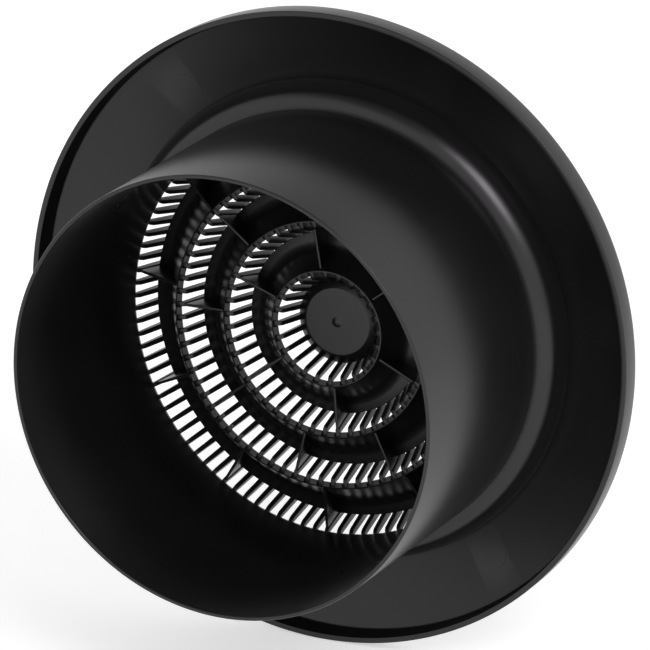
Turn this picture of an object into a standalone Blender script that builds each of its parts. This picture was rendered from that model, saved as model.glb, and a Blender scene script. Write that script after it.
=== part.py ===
"""Round vent grille for a wall or soffit duct, moulded in one piece.

The duct axis runs along Y. The flange's rim meets the wall in the plane Y = 0, the spigot
goes into the duct towards +Y and the louvred face looks towards -Y, +Z up.
Angles are read from the back, anticlockwise from the right-hand side (-X).
"""
import bmesh
import bpy
from collections import namedtuple
from math import atan2, cos, hypot, pi, radians, sin, tan, tau

MM = 0.001

# Spigot, the tube that goes into the duct
SPIGOT_RADIUS = 62.0 * MM          # outside, at the open end
SPIGOT_LENGTH = 62.8 * MM          # past the wall plane
SPIGOT_WALL = 1.1 * MM             # at the open end
OUTER_DRAFT = radians(0.5)         # the outside narrows towards the open end, to leave the mould
INNER_DRAFT = radians(0.9)         # and the bore widens towards it
ROOT_DEPTH = 2.9 * MM              # where the outside meets the shoulder, in front of the wall plane

# Shoulder and flange
SHOULDER_WIDTH = 6.7 * MM          # the round step from the spigot down to the flange's web
SHOULDER_DEPTH = 8.7 * MM
FLANGE_RADIUS = 90.9 * MM          # outside, at the wall plane
FLANGE_WALL = 2.0 * MM
RIM_WIDTH = 1.7 * MM               # flat edge that lies against the wall
RIM_DEPTH = 6.6 * MM               # from the wall plane in to the web
RIM_DRAFT = radians(1.0)
RIM_ROUNDING = 3.0 * MM            # front outer edge
CREST_ROUNDING = 2.0 * MM          # front edge round the grille

# Louvre grille: four rings of slots, each a step down from a land to the edge of a shelf
SLOT_REACH = 3.35 * MM             # a slot's length across the face
SLOT_DEPTH = 7.15 * MM             # and along the duct axis, from the land to the shelf
BAR_THICKNESS = 1.15 * MM          # plates between the slots
LEDGE_REACH = 1.45 * MM            # a bar's back runs out from the land over this length
LEDGE_FALL = 1.05 * MM             # falling by this much, then drops to the shelf
SHELF_WIDTH = 2.2 * MM             # flat at the foot of each cone
SHELF_THICKNESS = 1.6 * MM         # at the cone
LIP_DEPTH = 3.0 * MM               # the shelf's edge is a drip lip, this deep
LAND_WIDTH = 1.3 * MM              # flat on top of each cone
LAND_THICKNESS = 1.15 * MM
CONE_WALL = 1.5 * MM
LAND_DEPTH = 3.4 * MM              # innermost and outermost lands, in front of the wall plane
DISH_RISE = 1.0 * MM               # the rings between lie this much nearer the wall, ring by ring
INNER_RING_RADIUS = 15.25 * MM     # outer ends of the slots round the disc
RING_PITCH = 14.5 * MM

# Stiffening ribs across the grooves between two rings, in line with a bar
RIB_THICKNESS = 1.0 * MM
RIB_DROP = 0.2 * MM                # their edges run from land to land, this much lower
RIB_END = 1.05 * MM                # and stop short of the outer land
SEAT = 0.5 * MM                    # how far a rib runs into the walls that carry it

# Centre disc
DISC_RISE = 0.6 * MM               # its pad stands behind the shelf
DISC_CHAMFER = 1.7 * MM
DISC_LIP_WIDTH = 2.6 * MM

SAME_ANGLE = 1e-4                  # corners closer than this, in radians, are joined by one face

# Facets in each quarter-round
SHOULDER_STEPS = 3
RIM_STEPS = 3
CREST_STEPS = 2

Ring = namedtuple("Ring", "radius land slots ribs turn")
SPIGOT_BORE = SPIGOT_RADIUS - SPIGOT_WALL - (SPIGOT_LENGTH + LAND_DEPTH) * tan(INNER_DRAFT)
RINGS = (
    Ring(INNER_RING_RADIUS, -LAND_DEPTH, 24, 0, radians(2.85)),
    Ring(INNER_RING_RADIUS + RING_PITCH, -LAND_DEPTH + DISH_RISE, 48, 6, radians(37.0)),
    Ring(INNER_RING_RADIUS + 2 * RING_PITCH, -LAND_DEPTH + 2 * DISH_RISE, 72, 9, radians(18.4)),
    Ring(SPIGOT_BORE, -LAND_DEPTH, 99, 11, radians(8.1)),
)


def at(radius, y, angle, aside=0.0):
    """A point on the circle of this radius, moved sideways from the radial line by aside."""
    along = (radius**2 - aside**2) ** 0.5
    x = along * cos(angle) - aside * sin(angle)
    z = along * sin(angle) + aside * cos(angle)
    return (-x, y, z)


def circle(bm, radius, y, ring):
    """A loop with one vertex at each bar of a ring."""
    step = 2 * pi / ring.slots
    return [bm.verts.new(at(radius, y, ring.turn + i * step)) for i in range(ring.slots)]


def bar_corners(bm, radius, y, ring):
    """A loop with two vertices at each bar of a ring, one on either face of the bar."""
    step = 2 * pi / ring.slots
    half = BAR_THICKNESS / 2
    sides = [(ring.turn + i * step, side) for i in range(ring.slots) for side in (-half, half)]
    return [bm.verts.new(at(radius, y, angle, side)) for angle, side in sides]


def unrolled(verts, start):
    """The loop's vertices by their angle from start, with the first once more at the end."""
    turns = [((atan2(v.co.z, -v.co.x) - start + SAME_ANGLE) % tau - SAME_ANGLE, v) for v in verts]
    turns.sort(key=lambda item: item[0])
    return turns + [(turns[0][0] + tau, turns[0][1])]


def skin(bm, *loops):
    """Cover the band between each loop and the next, round by angle; their counts may differ."""
    for first, second in zip(loops, loops[1:]):
        start = atan2(first[0].co.z, -first[0].co.x)
        near, far = unrolled(first, start), unrolled(second, start)
        i = j = 0
        while i < len(first) or j < len(second):
            near_turn = near[i + 1][0] if i < len(first) else 2 * tau
            far_turn = far[j + 1][0] if j < len(second) else 2 * tau
            step_near = near_turn <= far_turn + SAME_ANGLE
            step_far = far_turn <= near_turn + SAME_ANGLE
            corners = [far[j][1], near[i][1]]
            if step_near:
                i += 1
                corners.append(near[i][1])
            if step_far:
                j += 1
                corners.append(far[j][1])
            bm.faces.new(corners)


def shelf_radius(ring):
    return ring.radius - SLOT_REACH


def shelf_back(ring):
    return ring.land - SLOT_DEPTH


def shelf_front(ring):
    return shelf_back(ring) - SHELF_THICKNESS


def lip_front(ring):
    return shelf_back(ring) - LIP_DEPTH


def cone(inner, outer):
    """The cone between an inner ring's land and an outer ring's shelf.

    Gives the back face's two ends and the slope across it as (dr, dy) of unit length.
    """
    top = (inner.radius + LAND_WIDTH, inner.land)
    foot = (shelf_radius(outer) - SHELF_WIDTH, shelf_back(outer))
    run = hypot(foot[0] - top[0], foot[1] - top[1])
    slope = ((foot[0] - top[0]) / run, (foot[1] - top[1]) / run)
    return top, foot, slope


def radius_on_cone(inner, outer, y, depth):
    """Radius at this y on the cone, measured at a depth inside its back face."""
    top, _, slope = cone(inner, outer)
    start = (top[0] + depth * slope[1], top[1] - depth * slope[0])
    return start[0] + (y - start[1]) * slope[0] / slope[1]


def quarter(centre, wide, deep, steps, start, end):
    """Points (radius, y) along an elliptical arc; angles run from the radial direction to +Y."""
    angles = [start + (end - start) * i / steps for i in range(steps + 1)]
    return [(centre[0] + wide * cos(a), centre[1] + deep * sin(a)) for a in angles]


def add_slots(bm, ring, groove_radius):
    """One ring of radial plates with the slots between them.

    Returns the four loops that the neighbouring walls are skinned to: shelf back, lip front,
    land and groove.
    """
    inside = shelf_radius(ring)
    back = bar_corners(bm, inside, shelf_back(ring), ring)
    front = bar_corners(bm, inside, lip_front(ring), ring)
    heel = bar_corners(bm, ring.radius - LEDGE_REACH, ring.land - LEDGE_FALL, ring)
    land = bar_corners(bm, ring.radius, ring.land, ring)
    groove = bar_corners(bm, groove_radius, ring.land - LAND_THICKNESS, ring)
    count = len(back)
    for left in range(0, count, 2):
        right = left + 1
        following = (left + 2) % count
        bm.faces.new((heel[left], heel[right], land[right], land[left]))
        bm.faces.new((back[left], back[right], heel[right], heel[left]))
        bm.faces.new((front[left], front[right], groove[right], groove[left]))
        for side in (left, right):
            bm.faces.new((back[side], heel[side], land[side], groove[side], front[side]))
        bm.faces.new((land[right], land[following], groove[following], groove[right]))
        bm.faces.new((back[right], back[following], front[following], front[right]))
    return back, front, land, groove


def add_disc(bm, ring, back, front):
    """The solid centre, with a low pad on the back and a lip round the front."""
    pad = circle(bm, shelf_radius(ring) - DISC_CHAMFER, shelf_back(ring) + DISC_RISE, ring)
    skin(bm, back, pad)
    bm.faces.new(pad)
    floor = circle(bm, shelf_radius(ring) - DISC_LIP_WIDTH, shelf_front(ring), ring)
    skin(bm, front, floor)
    bm.faces.new(floor)


def add_cone(bm, inner, outer, land, groove, back, front):
    """The sloping wall and the flat shelf between two rings, back and front."""
    top, foot, _ = cone(inner, outer)
    land_edge = circle(bm, *top, inner)
    shelf_edge = circle(bm, *foot, outer)
    skin(bm, land, land_edge, shelf_edge, back)
    crease = radius_on_cone(inner, outer, shelf_front(outer), CONE_WALL)
    skin(bm, groove, circle(bm, crease, shelf_front(outer), outer), front)


def add_spigot_and_flange(bm, ring, land, groove):
    """Bore, tube, shoulder, web, rim and front face, turned as one profile."""
    root_radius = SPIGOT_RADIUS + (SPIGOT_LENGTH + ROOT_DEPTH) * tan(OUTER_DRAFT)
    shoulder_centre = (root_radius, -ROOT_DEPTH - SHOULDER_DEPTH)
    web_inner = (root_radius + SHOULDER_WIDTH, shoulder_centre[1])
    rim_inner = FLANGE_RADIUS - RIM_WIDTH
    web_outer = (rim_inner - RIM_DEPTH * tan(RIM_DRAFT), -RIM_DEPTH)
    web_angle = atan2(web_outer[1] - web_inner[1], web_outer[0] - web_inner[0])
    down = (sin(web_angle), -cos(web_angle))

    # The front of the web lies one wall below its back
    front_inner = (web_inner[0] + FLANGE_WALL * down[0], web_inner[1] + FLANGE_WALL * down[1])
    rim_centre_radius = FLANGE_RADIUS - RIM_ROUNDING
    rim_front = front_inner[1] + (rim_centre_radius - front_inner[0]) * tan(web_angle)
    rim_centre = (rim_centre_radius, rim_front + RIM_ROUNDING / cos(web_angle))
    crest_radius = web_inner[0] - FLANGE_WALL + CREST_ROUNDING
    crest_front = front_inner[1] + (crest_radius - front_inner[0]) * tan(web_angle)
    crest_centre = (crest_radius, crest_front + CREST_ROUNDING / cos(web_angle))

    outline = [
        (SPIGOT_RADIUS - SPIGOT_WALL, SPIGOT_LENGTH),
        (SPIGOT_RADIUS, SPIGOT_LENGTH),
    ]
    outline += quarter(shoulder_centre, SHOULDER_WIDTH, SHOULDER_DEPTH, SHOULDER_STEPS, pi / 2, 0)
    outline += [web_outer, (rim_inner, 0.0), (FLANGE_RADIUS, 0.0)]
    outline += quarter(rim_centre, RIM_ROUNDING, RIM_ROUNDING, RIM_STEPS, 0, web_angle - pi / 2)
    outline += quarter(crest_centre, CREST_ROUNDING, CREST_ROUNDING, CREST_STEPS, web_angle - pi / 2, -pi)
    inner_shoulder = quarter(
        shoulder_centre, SHOULDER_WIDTH - FLANGE_WALL, SHOULDER_DEPTH - FLANGE_WALL, SHOULDER_STEPS, 0, pi / 2
    )
    outline += inner_shoulder[1:-1]
    skin(bm, land, *[circle(bm, radius, y, ring) for radius, y in outline], groove)


def make_grille():
    bm = bmesh.new()
    inner = RINGS[0]
    groove_radii = [radius_on_cone(a, b, a.land - LAND_THICKNESS, CONE_WALL) for a, b in zip(RINGS, RINGS[1:])]
    groove_radii.append(RINGS[-1].radius + LAND_THICKNESS / 4)
    back, front, land, groove = add_slots(bm, inner, groove_radii[0])
    add_disc(bm, inner, back, front)
    for outer, groove_radius in zip(RINGS[1:], groove_radii[1:]):
        next_back, next_front, next_land, next_groove = add_slots(bm, outer, groove_radius)
        add_cone(bm, inner, outer, land, groove, next_back, next_front)
        inner, land, groove = outer, next_land, next_groove
    add_spigot_and_flange(bm, inner, land, groove)
    bmesh.ops.recalc_face_normals(bm, faces=bm.faces[:])
    return finish(bm, "vent_grille")


def make_ribs():
    """Radial plates that cross each groove from the cone to a bar of the next ring."""
    bm = bmesh.new()
    for inner, outer in zip(RINGS, RINGS[1:]):
        edge = inner.land - RIB_DROP
        floor = shelf_back(outer) - SEAT
        section = (
            (radius_on_cone(inner, outer, edge, SEAT), edge),
            (radius_on_cone(inner, outer, floor, SEAT), floor),
            (shelf_radius(outer) + SEAT / 2, floor),
            (outer.radius - RIB_END, outer.land - RIB_DROP),
        )
        for i in range(outer.ribs):
            angle = outer.turn + i * 2 * pi / outer.ribs
            half = RIB_THICKNESS / 2
            near = bm.faces.new([bm.verts.new(at(r, y, angle, -half)) for r, y in section])
            far = bm.faces.new([bm.verts.new(at(r, y, angle, half)) for r, y in reversed(section)])
            bmesh.ops.bridge_loops(bm, edges=near.edges[:] + far.edges[:])
    bmesh.ops.recalc_face_normals(bm, faces=bm.faces[:])
    ribs = finish(bm, "rib_plates")
    ribs.hide_render = True
    ribs.display_type = "WIRE"
    return ribs


def finish(bm, name):
    mesh = bpy.data.meshes.new(name)
    bm.to_mesh(mesh)
    bm.free()
    part = bpy.data.objects.new(name, mesh)
    bpy.context.collection.objects.link(part)
    return part


def black_plastic():
    material = bpy.data.materials.new("black_moulded_plastic")
    material.use_nodes = True
    shader = material.node_tree.nodes["Principled BSDF"]
    shader.inputs["Base Color"].default_value = (0.022, 0.022, 0.023, 1.0)
    shader.inputs["Roughness"].default_value = 0.48
    shader.inputs["Metallic"].default_value = 0.0
    return material


def main():
    for item in list(bpy.data.objects):
        bpy.data.objects.remove(item, do_unlink=True)
    grille = make_grille()
    union = grille.modifiers.new("ribs", "BOOLEAN")
    union.operation = "UNION"
    union.solver = "EXACT"
    union.object = make_ribs()
    grille.data.materials.append(black_plastic())
    grille.data.shade_smooth()
    grille.data.set_sharp_from_angle(angle=radians(28))


main()
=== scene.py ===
from collections import namedtuple
from math import atan2, cos, hypot, pi, radians, sin, tan

import bmesh
import bpy
from mathutils import Matrix, Vector


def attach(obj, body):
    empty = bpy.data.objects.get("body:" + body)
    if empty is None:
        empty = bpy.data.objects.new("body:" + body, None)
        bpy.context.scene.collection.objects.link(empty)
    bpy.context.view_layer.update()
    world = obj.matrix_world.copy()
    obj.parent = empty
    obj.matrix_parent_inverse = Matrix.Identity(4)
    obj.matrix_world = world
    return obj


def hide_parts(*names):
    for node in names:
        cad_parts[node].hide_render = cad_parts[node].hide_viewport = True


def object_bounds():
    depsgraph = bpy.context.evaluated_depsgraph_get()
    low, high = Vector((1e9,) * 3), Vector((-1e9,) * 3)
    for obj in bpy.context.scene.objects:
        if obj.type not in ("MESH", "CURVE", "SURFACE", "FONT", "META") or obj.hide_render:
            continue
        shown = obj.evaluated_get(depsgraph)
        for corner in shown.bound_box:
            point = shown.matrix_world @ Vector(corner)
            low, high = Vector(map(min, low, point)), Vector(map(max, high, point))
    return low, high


# Round vent grille, one black plastic moulding seen from behind. The duct axis runs along Y with
# the wall plane at Y = 0, the spigot towards +Y and the louvred face towards -Y.
# Angles round the duct axis are read from the back, anticlockwise from the right-hand side (-X).
# Shapes are drawn in millimetres and scaled to metres when they are whole.

MM = 0.001
DUCT_AXIS = (0, 1, 0)
CENTRE = (0, 0, 0)

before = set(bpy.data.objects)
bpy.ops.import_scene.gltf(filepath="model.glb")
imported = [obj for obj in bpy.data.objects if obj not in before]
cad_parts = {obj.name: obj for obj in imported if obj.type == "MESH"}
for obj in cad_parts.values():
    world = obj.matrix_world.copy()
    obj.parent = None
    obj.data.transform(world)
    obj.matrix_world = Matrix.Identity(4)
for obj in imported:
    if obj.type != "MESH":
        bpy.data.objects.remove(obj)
cad_low, cad_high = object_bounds()

# Spigot, whose end is read from the frame
SPIGOT_END = cad_high.y / MM
SPIGOT_RADIUS = 62.0
SPIGOT_WALL = 1.1
OUTER_DRAFT = radians(0.5)
INNER_DRAFT = radians(0.9)
ROOT_DEPTH = 2.9
ROOT_RADIUS = SPIGOT_RADIUS + (SPIGOT_END + ROOT_DEPTH) * tan(OUTER_DRAFT)
LIP_ROUNDING = 0.35

# Shoulder and flange, whose radius is read from the frame
FLANGE_RADIUS = cad_high.x / MM
SHOULDER_WIDTH = 6.7
SHOULDER_DEPTH = 8.7
FLANGE_WALL = 2.0
RIM_WIDTH = 1.7
RIM_DEPTH = 6.6
RIM_DRAFT = radians(1.0)
RIM_ROUNDING = 3.0
RIM_EDGE_ROUNDING = 0.3
CREST_ROUNDING = 2.0
CREASE_ROUNDING = 0.5

# Places of the four rings of slots
INNER_RING_RADIUS = 15.25
RING_PITCH = 14.5
LAND_DEPTH = 3.4
DISH_RISE = 1.0
SLOT_REACH = 3.35
SLOT_DEPTH = 7.15
EDGE_ROUNDING = 0.2

# Shelf and drip lip at the inner side of each ring, and the cone that falls to them
SHELF_WIDTH = 4.4
SHELF_THICKNESS = 1.6
LIP_DEPTH = 3.0
CONE_WALL = 2.0
CONE_ROUNDING = 2.2

# Bars between the slots, with a ledge behind and a belly in front
BAR_THICKNESS = 1.25
BAR_DRAFT = radians(1.0)
BAR_ROUNDING = 0.17
LEDGE_REACH = 1.3
LEDGE_FALL = 0.9
LEDGE_FLAT = 0.5
BELLY_REACH = 2.4

# Land at the outer side of each ring: sloping pads, a notch at every bar and a crest round them
LAND_WIDTH = 1.55
LAND_THICKNESS = 1.15
PAD_REACH = 1.2
PAD_RISE = 0.5
PAD_ROUNDING = 0.2
NOTCH_DEPTH = 0.3
NOTCH_WIDTH = 1.45

# Ribs across the grooves
RIB_THICKNESS = 0.85
RIB_ROUNDING = 0.28
RIB_DROP = 0.2
RIB_END = 1.05

# Centre disc with the stub that the moulding gate left
DISC_RISE = 0.6
DISC_CHAMFER = 2.75
DISC_EDGE_REACH = 0.55
DISC_EDGE_FALL = 1.1
DISC_LIP_WIDTH = 2.6
GATE_STUB = 1.5
GATE_STUB_SHOULDER = 1.125
GATE_STUB_TOP = 0.525
GATE_STUB_RISE = 0.35

# Ejector-pin marks on the flange's back
PIN_MARKS = 6
PIN_MARK_RADIUS = 5.4
PIN_MARK_CIRCLE = 76.6
PIN_MARK_TURN = radians(7.8)
PIN_MARK_RISE = 0.1

# How deep joined shapes sink into each other, and the step that keeps their faces apart
SEAT = 0.4
FLUSH = 0.04

# Facets, with narrow rings beside flat faces that keep them flat under smooth shading
ROUND_STEPS = 288
ROUNDING_STEPS = 3
SHOULDER_STEPS = 18
RIM_STEPS = 9
CREST_STEPS = 7
PIN_MARK_STEPS = 64
FLAT_HOLD = 0.2
SHARP_ANGLE = radians(38)
WELD = 1e-4

# A plate's side is a face whose normal points round the axis by more than this
SIDE_FACING = 0.5

# Plastic, with its textures as scale, detail and roughness
GRAIN = (2600.0, 3.0, 0.6)
CLOUD = (45.0, 3.0, 0.55)
DARK_TONE = (0.003, 0.003, 0.003, 1.0)
LIGHT_TONE = (0.007, 0.007, 0.007, 1.0)
SHEEN = 0.25
SHEEN_CHANGE = 0.08
GRAIN_STRENGTH = 0.25
GRAIN_DEPTH = 0.04 * MM

# Studio, whose white sky fades to a dim ceiling between two heights (0 level, 1 overhead)
WHITE = (1.0, 1.0, 1.0, 1.0)
FLOOR_TONE = (0.8, 0.8, 0.8, 1.0)
FLOOR_ROUGHNESS = 0.8
FLOOR_GLOW = 0.5
FLOOR_SIZE = 8.0
FLOOR_GAP = 0.2 * MM
CEILING = 0.2
CEILING_FROM = (0.6, 0.85)
KEY_AZIMUTH = radians(227)
KEY_ELEVATION = radians(40)
KEY_DISTANCE = 1.5
KEY_SIZE = 0.6
KEY_POWER = 8
KEY_TINT = (1.0, 0.92, 1.0)

# Camera, fitted to the photo
CAMERA_AZIMUTH = radians(205.98)
CAMERA_ELEVATION = radians(18.59)
CAMERA_DISTANCE = 1.4322
CAMERA_TARGET = Vector((-1.1 * MM, 0.0, 2.3 * MM))
CAMERA_LENS = 288.3
CAMERA_SENSOR = 36.0
CAMERA_CLIP = (0.05, 20.0)

Ring = namedtuple("Ring", "radius land slots ribs turn")
SPIGOT_BORE = SPIGOT_RADIUS - SPIGOT_WALL - (SPIGOT_END + LAND_DEPTH) * tan(INNER_DRAFT)
RINGS = (
    Ring(INNER_RING_RADIUS, -LAND_DEPTH, 24, 0, radians(2.85)),
    Ring(INNER_RING_RADIUS + RING_PITCH, -LAND_DEPTH + DISH_RISE, 48, 6, radians(37.0)),
    Ring(INNER_RING_RADIUS + 2 * RING_PITCH, -LAND_DEPTH + 2 * DISH_RISE, 72, 9, radians(18.4)),
    Ring(SPIGOT_BORE, -LAND_DEPTH, 99, 11, radians(8.1)),
)


def shelf_radius(ring):
    return ring.radius - SLOT_REACH


def shelf_back(ring):
    return ring.land - SLOT_DEPTH


def shelf_front(ring):
    return shelf_back(ring) - SHELF_THICKNESS


def lip_front(ring):
    return shelf_back(ring) - LIP_DEPTH


def cone(inner, outer):
    """Back face of the cone between two rings: its two ends and its direction (dr, dy)."""
    top = (inner.radius + LAND_WIDTH, inner.land + PAD_RISE)
    foot = (shelf_radius(outer) - SHELF_WIDTH, shelf_back(outer))
    run = hypot(foot[0] - top[0], foot[1] - top[1])
    return top, foot, ((foot[0] - top[0]) / run, (foot[1] - top[1]) / run)


def radius_on_cone(inner, outer, y, depth):
    """Radius at this y on the cone, measured at a depth inside its back face."""
    top, _, slope = cone(inner, outer)
    start = (top[0] + depth * slope[1], top[1] - depth * slope[0])
    return start[0] + (y - start[1]) * slope[0] / slope[1]


def groove_radius(ring):
    """Where the land's front edge lies."""
    if ring is RINGS[-1]:
        return ring.radius + LAND_THICKNESS / 4
    outer = RINGS[RINGS.index(ring) + 1]
    return radius_on_cone(ring, outer, ring.land - LAND_THICKNESS, CONE_WALL)


def web_line():
    """The web's back face: its inner end at the shoulder and its outer end at the rim."""
    inner = (ROOT_RADIUS + SHOULDER_WIDTH, -ROOT_DEPTH - SHOULDER_DEPTH)
    outer = (FLANGE_RADIUS - RIM_WIDTH - RIM_DEPTH * tan(RIM_DRAFT), -RIM_DEPTH)
    return inner, outer


def arc(centre, wide, deep, steps, start, end):
    """Points along an elliptical arc; angles run from the radial direction to +Y."""
    angles = [start + (end - start) * i / steps for i in range(steps + 1)]
    return [(centre[0] + wide * cos(a), centre[1] + deep * sin(a), 0.0) for a in angles]


def add_to(whole, bm):
    """Put a finished shape into the mesh that holds its like.

    Extruding and spinning list the faces in another order each run, so they are sorted here.
    """
    bmesh.ops.remove_doubles(bm, verts=bm.verts[:], dist=WELD)
    bmesh.ops.recalc_face_normals(bm, faces=bm.faces[:])
    bm.verts.index_update()
    bm.faces.sort(key=lambda face: face.verts[0].index * len(bm.verts) + face.verts[1].index)
    mesh = bpy.data.meshes.new("shape")
    bm.to_mesh(mesh)
    bm.free()
    whole.from_mesh(mesh)
    bpy.data.meshes.remove(mesh)


def turn(whole, corners):
    """Turn an outline of (radius, y, rounding) corners into a closed ring round the duct axis."""
    bm = bmesh.new()
    verts = [bm.verts.new((radius, y, 0)) for radius, y, _ in corners]
    bm.faces.new(verts)
    for size in sorted({corner[2] for corner in corners if corner[2]}):
        chosen = [v for v, corner in zip(verts, corners) if corner[2] == size]
        bmesh.ops.bevel(
            bm, geom=chosen, offset=size, offset_type="OFFSET", affect="VERTICES",
            segments=ROUNDING_STEPS, profile=0.5, material=-1,
        )
    bmesh.ops.delete(bm, geom=bm.faces[:], context="FACES_ONLY")
    on_axis = [e for e in bm.edges if all(v.co.x == 0 for v in e.verts)]
    bmesh.ops.delete(bm, geom=on_axis, context="EDGES")
    bmesh.ops.spin(
        bm, geom=bm.edges[:], cent=CENTRE, axis=DUCT_AXIS, dvec=CENTRE, angle=2 * pi,
        steps=ROUND_STEPS, use_merge=True, use_normal_flip=False, use_duplicate=False,
    )
    add_to(whole, bm)


def repeat(whole, bm, count, first):
    """Turn a shape to its first place and copy it round the duct axis."""
    bmesh.ops.rotate(bm, verts=bm.verts[:], cent=CENTRE, matrix=Matrix.Rotation(pi + first, 3, "Y"))
    step = 2 * pi / count
    bmesh.ops.spin(
        bm, geom=bm.verts[:] + bm.edges[:] + bm.faces[:], cent=CENTRE, axis=DUCT_AXIS, dvec=CENTRE,
        angle=step * (count - 1), steps=count - 1, use_duplicate=True,
    )
    add_to(whole, bm)


def plates(whole, section, thickness, rounding, rounded_from, count, first, draft=0.0):
    """Upright plates with this (radius, y) section, repeated round the duct axis.

    Their edges are rounded behind the y given as rounded_from, and each side leans out by the
    draft angle towards the front.
    """
    bm = bmesh.new()
    face = bm.faces.new([bm.verts.new((radius, y, -thickness / 2)) for radius, y in section])
    made = bmesh.ops.extrude_face_region(bm, geom=[face])["geom"]
    far = [v for v in made if isinstance(v, bmesh.types.BMVert)]
    bmesh.ops.translate(bm, verts=far, vec=(0, 0, thickness))
    back = max(y for _, y in section)
    for vert in bm.verts:
        vert.co.z *= 1 + 2 * tan(draft) * (back - vert.co.y) / thickness
    bmesh.ops.recalc_face_normals(bm, faces=bm.faces[:])
    edges = {e for f in bm.faces if abs(f.normal.z) > SIDE_FACING for e in f.edges}
    behind = [e for e in edges if min(v.co.y for v in e.verts) > rounded_from]
    bmesh.ops.bevel(
        bm, geom=behind, offset=rounding, offset_type="OFFSET", affect="EDGES",
        segments=ROUNDING_STEPS, profile=0.5, clamp_overlap=True, material=-1,
    )
    repeat(whole, bm, count, first)


def as_object(bm, name):
    mesh = bpy.data.meshes.new(name)
    bm.to_mesh(mesh)
    bm.free()
    made = bpy.data.objects.new(name, mesh)
    bpy.context.scene.collection.objects.link(made)
    return made


def disc_corners(ring):
    """The solid centre: flat front, lip, sloping edge, flat back and the gate's stub."""
    back = shelf_back(ring) + DISC_RISE
    edge = shelf_radius(ring) + DISC_EDGE_REACH
    return [
        (0.0, shelf_front(ring), 0.0),
        (edge - DISC_LIP_WIDTH, shelf_front(ring), EDGE_ROUNDING),
        (edge, lip_front(ring), EDGE_ROUNDING),
        (edge, shelf_back(ring) - DISC_EDGE_FALL, EDGE_ROUNDING),
        (edge - DISC_CHAMFER, back, EDGE_ROUNDING),
        (edge - DISC_CHAMFER - 2 * FLAT_HOLD, back, 0.0),
        (GATE_STUB + FLAT_HOLD, back, 0.0),
        (GATE_STUB, back, 0.0),
        (GATE_STUB_SHOULDER, back + GATE_STUB_RISE / 2, 0.0),
        (GATE_STUB_TOP, back + GATE_STUB_RISE, 0.0),
        (0.0, back + GATE_STUB_RISE, 0.0),
    ]


def groove_corners(inner, outer):
    """The face between two rings: floor of the notches, crest, steep cone, flat shelf and lip."""
    top, foot, _ = cone(inner, outer)
    crease = shelf_front(outer)
    return [
        (inner.radius, inner.land - NOTCH_DEPTH, 0.0),
        (inner.radius + PAD_REACH, inner.land - NOTCH_DEPTH, 0.0),
        (inner.radius + PAD_REACH, inner.land + PAD_RISE, 0.0),
        (*top, EDGE_ROUNDING),
        (*foot, CONE_ROUNDING),
        (shelf_radius(outer), shelf_back(outer), EDGE_ROUNDING),
        (shelf_radius(outer), lip_front(outer), EDGE_ROUNDING),
        (radius_on_cone(inner, outer, crease, CONE_WALL), crease, EDGE_ROUNDING),
        (groove_radius(inner), inner.land - LAND_THICKNESS, EDGE_ROUNDING),
    ]


def spigot_corners(ring):
    """Bore, tube, shoulder, web, rim and front face."""
    shoulder_centre = (ROOT_RADIUS, -ROOT_DEPTH - SHOULDER_DEPTH)
    web_inner, web_outer = web_line()
    rim_inner = FLANGE_RADIUS - RIM_WIDTH
    web_angle = atan2(web_outer[1] - web_inner[1], web_outer[0] - web_inner[0])
    down = (sin(web_angle), -cos(web_angle))
    front_inner = (web_inner[0] + FLANGE_WALL * down[0], web_inner[1] + FLANGE_WALL * down[1])
    rim_centre_radius = FLANGE_RADIUS - RIM_ROUNDING
    rim_front = front_inner[1] + (rim_centre_radius - front_inner[0]) * tan(web_angle)
    rim_centre = (rim_centre_radius, rim_front + RIM_ROUNDING / cos(web_angle))
    crest_radius = web_inner[0] - FLANGE_WALL + CREST_ROUNDING
    crest_front = front_inner[1] + (crest_radius - front_inner[0]) * tan(web_angle)
    crest_centre = (crest_radius, crest_front + CREST_ROUNDING / cos(web_angle))
    shoulder = arc(shoulder_centre, SHOULDER_WIDTH, SHOULDER_DEPTH, SHOULDER_STEPS, pi / 2, 0)
    inner_shoulder = arc(
        shoulder_centre, SHOULDER_WIDTH - FLANGE_WALL, SHOULDER_DEPTH - FLANGE_WALL,
        SHOULDER_STEPS, 0, pi / 2,
    )
    return [
        (ring.radius, ring.land, EDGE_ROUNDING),
        (SPIGOT_RADIUS - SPIGOT_WALL, SPIGOT_END, LIP_ROUNDING),
        (SPIGOT_RADIUS, SPIGOT_END, LIP_ROUNDING),
        *shoulder,
        (*web_outer, CREASE_ROUNDING),
        (rim_inner, 0.0, RIM_EDGE_ROUNDING),
        (FLANGE_RADIUS, 0.0, RIM_EDGE_ROUNDING),
        *arc(rim_centre, RIM_ROUNDING, RIM_ROUNDING, RIM_STEPS, 0, web_angle - pi / 2),
        *arc(crest_centre, CREST_ROUNDING, CREST_ROUNDING, CREST_STEPS, web_angle - pi / 2, -pi),
        *inner_shoulder[1:-1],
        (groove_radius(ring), ring.land - LAND_THICKNESS, EDGE_ROUNDING),
    ]


def make_walls():
    """The turned shapes: centre disc, three grooves, and spigot with flange."""
    walls = bmesh.new()
    turn(walls, disc_corners(RINGS[0]))
    for inner, outer in zip(RINGS, RINGS[1:]):
        turn(walls, groove_corners(inner, outer))
    turn(walls, spigot_corners(RINGS[-1]))
    return as_object(walls, "vent_grille_moulding")


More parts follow.
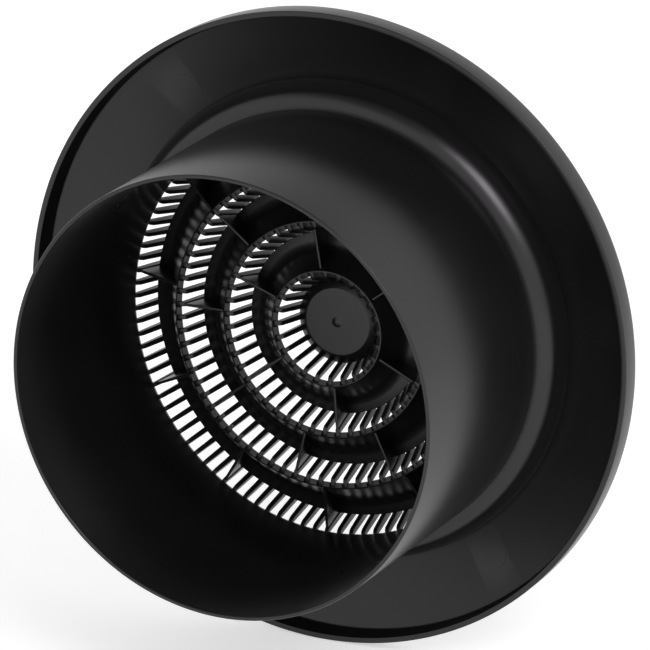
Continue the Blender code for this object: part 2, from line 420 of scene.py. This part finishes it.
def bar_section(ring):
    """A bar's outline: a short ledge behind, a steep drop to the shelf and a deep front.

    On the outermost ring the ledge is level with the land. On the others it lies in the notches.
    """
    inside = shelf_radius(ring) - SEAT / 2
    steepness = (SLOT_DEPTH - LEDGE_FALL) / (SLOT_REACH - LEDGE_REACH)
    outside = ring.radius + PAD_REACH + SEAT / 2
    back = ring.land - NOTCH_DEPTH + FLUSH
    if ring is RINGS[-1]:
        outside = ring.radius + SEAT
        back = ring.land
    front = lip_front(ring) + FLUSH
    return [
        (inside, front),
        (inside, shelf_back(ring) - steepness * SEAT / 2),
        (ring.radius - LEDGE_REACH, ring.land - LEDGE_FALL),
        (ring.radius - LEDGE_FLAT, back),
        (outside, back),
        (outside, ring.land - LAND_THICKNESS + FLUSH),
        (groove_radius(ring), ring.land - LAND_THICKNESS + FLUSH),
        (ring.radius - BELLY_REACH, front),
    ]


def make_bars():
    bars = bmesh.new()
    for ring in RINGS:
        plates(
            bars, bar_section(ring), BAR_THICKNESS, BAR_ROUNDING, shelf_back(ring) - 2 * SEAT,
            ring.slots, ring.turn, BAR_DRAFT,
        )
    return as_object(bars, "bars")


def pad_section(ring):
    """Outline of the sloping pad between two bars, from the slot's end up to the crest."""
    seat = ring.land - NOTCH_DEPTH - SEAT
    crest = ring.radius + PAD_REACH + SEAT / 2
    return [
        (ring.radius, ring.land),
        (ring.radius, ring.land - NOTCH_DEPTH - FLUSH),
        (ring.radius + SEAT / 2, seat),
        (crest, seat),
        (crest, ring.land + PAD_RISE - FLUSH),
    ]


def make_pads():
    pads = bmesh.new()
    for ring in RINGS[:-1]:
        pitch = 2 * pi / ring.slots
        plates(
            pads, pad_section(ring), ring.radius * pitch - NOTCH_WIDTH, PAD_ROUNDING,
            ring.land - NOTCH_DEPTH, ring.slots, ring.turn + pitch / 2,
        )
    return as_object(pads, "pads")


def rib_section(inner, outer):
    """A rib's outline: from the cone across the shelf to a bar of the next ring."""
    edge = inner.land - RIB_DROP
    floor = shelf_back(outer) - SEAT
    return [
        (radius_on_cone(inner, outer, edge, SEAT), edge),
        (radius_on_cone(inner, outer, floor, SEAT), floor),
        (shelf_radius(outer) + SEAT, floor),
        (outer.radius - RIB_END, outer.land - RIB_DROP),
    ]


def make_ribs():
    ribs = bmesh.new()
    for inner, outer in zip(RINGS, RINGS[1:]):
        plates(
            ribs, rib_section(inner, outer), RIB_THICKNESS, RIB_ROUNDING, shelf_front(outer),
            outer.ribs, outer.turn,
        )
    return as_object(ribs, "ribs")


def make_pin_marks():
    """Flat round ejector-pin marks, a little proud of the flange's web."""
    inner, outer = web_line()
    along = Vector((outer[0] - inner[0], outer[1] - inner[1], 0)).normalized()
    middle = Vector((*inner, 0)) + along * ((PIN_MARK_CIRCLE - inner[0]) / along.x)
    facing = Vector((-along.y, along.x, 0)).to_track_quat("Z", "Y").to_matrix().to_4x4()
    bm = bmesh.new()
    bmesh.ops.create_cone(
        bm, cap_ends=True, segments=PIN_MARK_STEPS, radius1=PIN_MARK_RADIUS,
        radius2=PIN_MARK_RADIUS, depth=2 * PIN_MARK_RISE, matrix=Matrix.Translation(middle) @ facing,
    )
    marks = bmesh.new()
    repeat(marks, bm, PIN_MARKS, PIN_MARK_TURN)
    return as_object(marks, "marks")


def put_in_order(mesh):
    """Number points and faces by where they lie, so that each run gives the same mesh."""
    places = [tuple(vert.co) for vert in mesh.vertices]
    order = sorted(range(len(places)), key=places.__getitem__)
    number = {old: new for new, old in enumerate(order)}
    faces = sorted([number[vert] for vert in face.vertices] for face in mesh.polygons)
    mesh.clear_geometry()
    mesh.from_pydata([places[old] for old in order], [], faces)


def joined_with(part, *others):
    """Union of the part with each of the others, as one plain mesh in metres."""
    for other in others:
        union = part.modifiers.new(other.name, "BOOLEAN")
        union.operation = "UNION"
        union.solver = "EXACT"
        union.object = other
    graph = bpy.context.evaluated_depsgraph_get()
    whole = bpy.data.meshes.new_from_object(part.evaluated_get(graph))
    part.modifiers.clear()
    part.data = whole
    put_in_order(part.data)
    part.data.transform(Matrix.Scale(MM, 4))
    for other in others:
        bpy.data.objects.remove(other, do_unlink=True)
    return part


def make_moulding():
    """The whole grille as one mesh, with its finish and its place in the frame."""
    moulding = joined_with(make_walls(), make_bars(), make_pads(), make_ribs(), make_pin_marks())
    moulding.data.shade_smooth()
    moulding.data.set_sharp_from_angle(angle=SHARP_ANGLE)
    moulding.data.materials.clear()
    moulding.data.materials.append(black_plastic())
    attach(moulding, "root")
    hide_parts("vent_grille")


class Signal:
    """A shader socket in a sum: each operator adds its Math node."""

    def __init__(self, shading, socket):
        self.shading = shading
        self.socket = socket

    def _with(self, operation, *values):
        node = self.shading.node("ShaderNodeMath", {"operation": operation}, *values)
        return Signal(self.shading, node.outputs[0])

    def __add__(self, other):
        return self._with("ADD", self, other)

    __radd__ = __add__

    def __rsub__(self, other):
        return self._with("SUBTRACT", other, self)

    def __mul__(self, other):
        return self._with("MULTIPLY", self, other)

    __rmul__ = __mul__

    def maximum(self, other):
        return self._with("MAXIMUM", self, other)

    def smooth(self, low, high):
        """0 below low, 1 above high, eased between."""
        node = self.shading.node(
            "ShaderNodeMapRange", {"interpolation_type": "SMOOTHSTEP"}, self, low, high
        )
        return Signal(self.shading, node.outputs[0])


class Shading:
    """Node tree of a material or of the world."""

    def __init__(self, owner):
        owner.use_nodes = True
        self.tree = owner.node_tree

    def node(self, kind, settings=None, *values, **named):
        """A node with its settings set first, then its sockets by place or by name."""
        made = self.tree.nodes.new(kind)
        for key, value in (settings or {}).items():
            setattr(made, key, value)
        for place, value in enumerate(values):
            self.feed(made.inputs[place], value)
        for name, value in named.items():
            self.feed(made.inputs[name], value)
        return made

    def feed(self, socket, value):
        """Link a socket to a signal or an output, or set it to a constant."""
        if isinstance(value, Signal):
            value = value.socket
        if isinstance(value, bpy.types.NodeSocket):
            self.tree.links.new(value, socket)
        else:
            socket.default_value = value

    def noise(self, where, scale, detail, roughness):
        made = self.node(
            "ShaderNodeTexNoise", {}, Vector=where, Scale=scale, Detail=detail, Roughness=roughness
        )
        return Signal(self, made.outputs["Fac"])


def black_plastic():
    """Black plastic with a soft sheen and the fine grain of the mould."""
    material = bpy.data.materials.new("black_moulded_plastic_finish")
    shading = Shading(material)
    place = shading.node("ShaderNodeTexCoord").outputs["Object"]
    grain = shading.noise(place, *GRAIN)
    cloud = shading.noise(place, *CLOUD)
    tone = shading.node("ShaderNodeMix", {"data_type": "RGBA"})
    shading.feed(tone.inputs["Factor"], cloud)
    shading.feed(tone.inputs["A"], DARK_TONE)
    shading.feed(tone.inputs["B"], LIGHT_TONE)
    bump = shading.node(
        "ShaderNodeBump", {}, Strength=GRAIN_STRENGTH, Distance=GRAIN_DEPTH, Height=grain
    )
    surface = shading.tree.nodes["Principled BSDF"]
    shading.feed(surface.inputs["Base Color"], tone.outputs["Result"])
    shading.feed(surface.inputs["Roughness"], SHEEN + SHEEN_CHANGE * cloud)
    shading.feed(surface.inputs["Normal"], bump.outputs["Normal"])
    return material


def make_floor():
    """A pale floor that looks white from the camera, with the object's shadow left on it."""
    bpy.ops.mesh.primitive_plane_add(size=FLOOR_SIZE, location=(0, 0, cad_low.z - FLOOR_GAP))
    floor = bpy.context.object
    floor.name = "studio_floor"
    material = bpy.data.materials.new("studio_white")
    shading = Shading(material)
    plain = shading.tree.nodes["Principled BSDF"]
    shading.feed(plain.inputs["Base Color"], FLOOR_TONE)
    shading.feed(plain.inputs["Roughness"], FLOOR_ROUGHNESS)
    glow = shading.node("ShaderNodeEmission", {}, WHITE, FLOOR_GLOW)
    bright = shading.node("ShaderNodeAddShader", {}, plain.outputs[0], glow.outputs[0])
    rays = shading.node("ShaderNodeLightPath")
    seen_or_mirrored = Signal(shading, rays.outputs["Is Camera Ray"]) + rays.outputs["Is Glossy Ray"]
    mix = shading.node(
        "ShaderNodeMixShader", {}, seen_or_mirrored, plain.outputs[0], bright.outputs[0]
    )
    shading.feed(shading.tree.nodes["Material Output"].inputs["Surface"], mix.outputs[0])
    floor.data.materials.append(material)


def make_world():
    """White walls round the object and white behind it, under a dim ceiling."""
    world = bpy.data.worlds.new("studio")
    bpy.context.scene.world = world
    shading = Shading(world)
    ceiling = shading.tree.nodes["Background"]
    shading.feed(ceiling.inputs["Color"], WHITE)
    shading.feed(ceiling.inputs["Strength"], CEILING)
    walls = shading.node("ShaderNodeBackground", {}, WHITE, 1.0)
    place = shading.node("ShaderNodeTexCoord").outputs["Generated"]
    height = Signal(shading, shading.node("ShaderNodeSeparateXYZ", {}, place).outputs["Z"])
    below_ceiling = 1.0 - height.smooth(*CEILING_FROM)
    camera = shading.node("ShaderNodeLightPath").outputs["Is Camera Ray"]
    white = below_ceiling.maximum(camera)
    mix = shading.node("ShaderNodeMixShader", {}, white, ceiling.outputs[0], walls.outputs[0])
    shading.feed(shading.tree.nodes["World Output"].inputs["Surface"], mix.outputs[0])


def stand_off(holder, target, azimuth, elevation, distance):
    """Place a lamp or a camera away from the target, facing it.

    The azimuth runs from the front (-Y) towards +X.
    """
    away = Vector((sin(azimuth) * cos(elevation), -cos(azimuth) * cos(elevation), sin(elevation)))
    holder.location = target + away * distance
    holder.rotation_mode = "QUATERNION"
    holder.rotation_quaternion = (-away).to_track_quat("-Z", "Y")


def make_key_light():
    """One soft area lamp on the spigot's side, high and to the right in the camera's view."""
    lamp = bpy.data.lights.new("key", "AREA")
    lamp.shape = "RECTANGLE"
    lamp.size = KEY_SIZE
    lamp.size_y = KEY_SIZE
    lamp.energy = KEY_POWER
    lamp.color = KEY_TINT
    holder = bpy.data.objects.new("key", lamp)
    bpy.context.scene.collection.objects.link(holder)
    stand_off(holder, Vector(CENTRE), KEY_AZIMUTH, KEY_ELEVATION, KEY_DISTANCE)


def make_camera():
    camera = bpy.data.objects.new("photo_view", bpy.data.cameras.new("photo_view"))
    bpy.context.scene.collection.objects.link(camera)
    camera.data.lens = CAMERA_LENS
    camera.data.sensor_width = CAMERA_SENSOR
    camera.data.clip_start, camera.data.clip_end = CAMERA_CLIP
    stand_off(camera, CAMERA_TARGET, CAMERA_AZIMUTH, CAMERA_ELEVATION, CAMERA_DISTANCE)
    bpy.context.scene.camera = camera


make_moulding()
make_floor()
make_world()
make_key_light()
make_camera()
bpy.context.scene.view_settings.view_transform = "Standard"
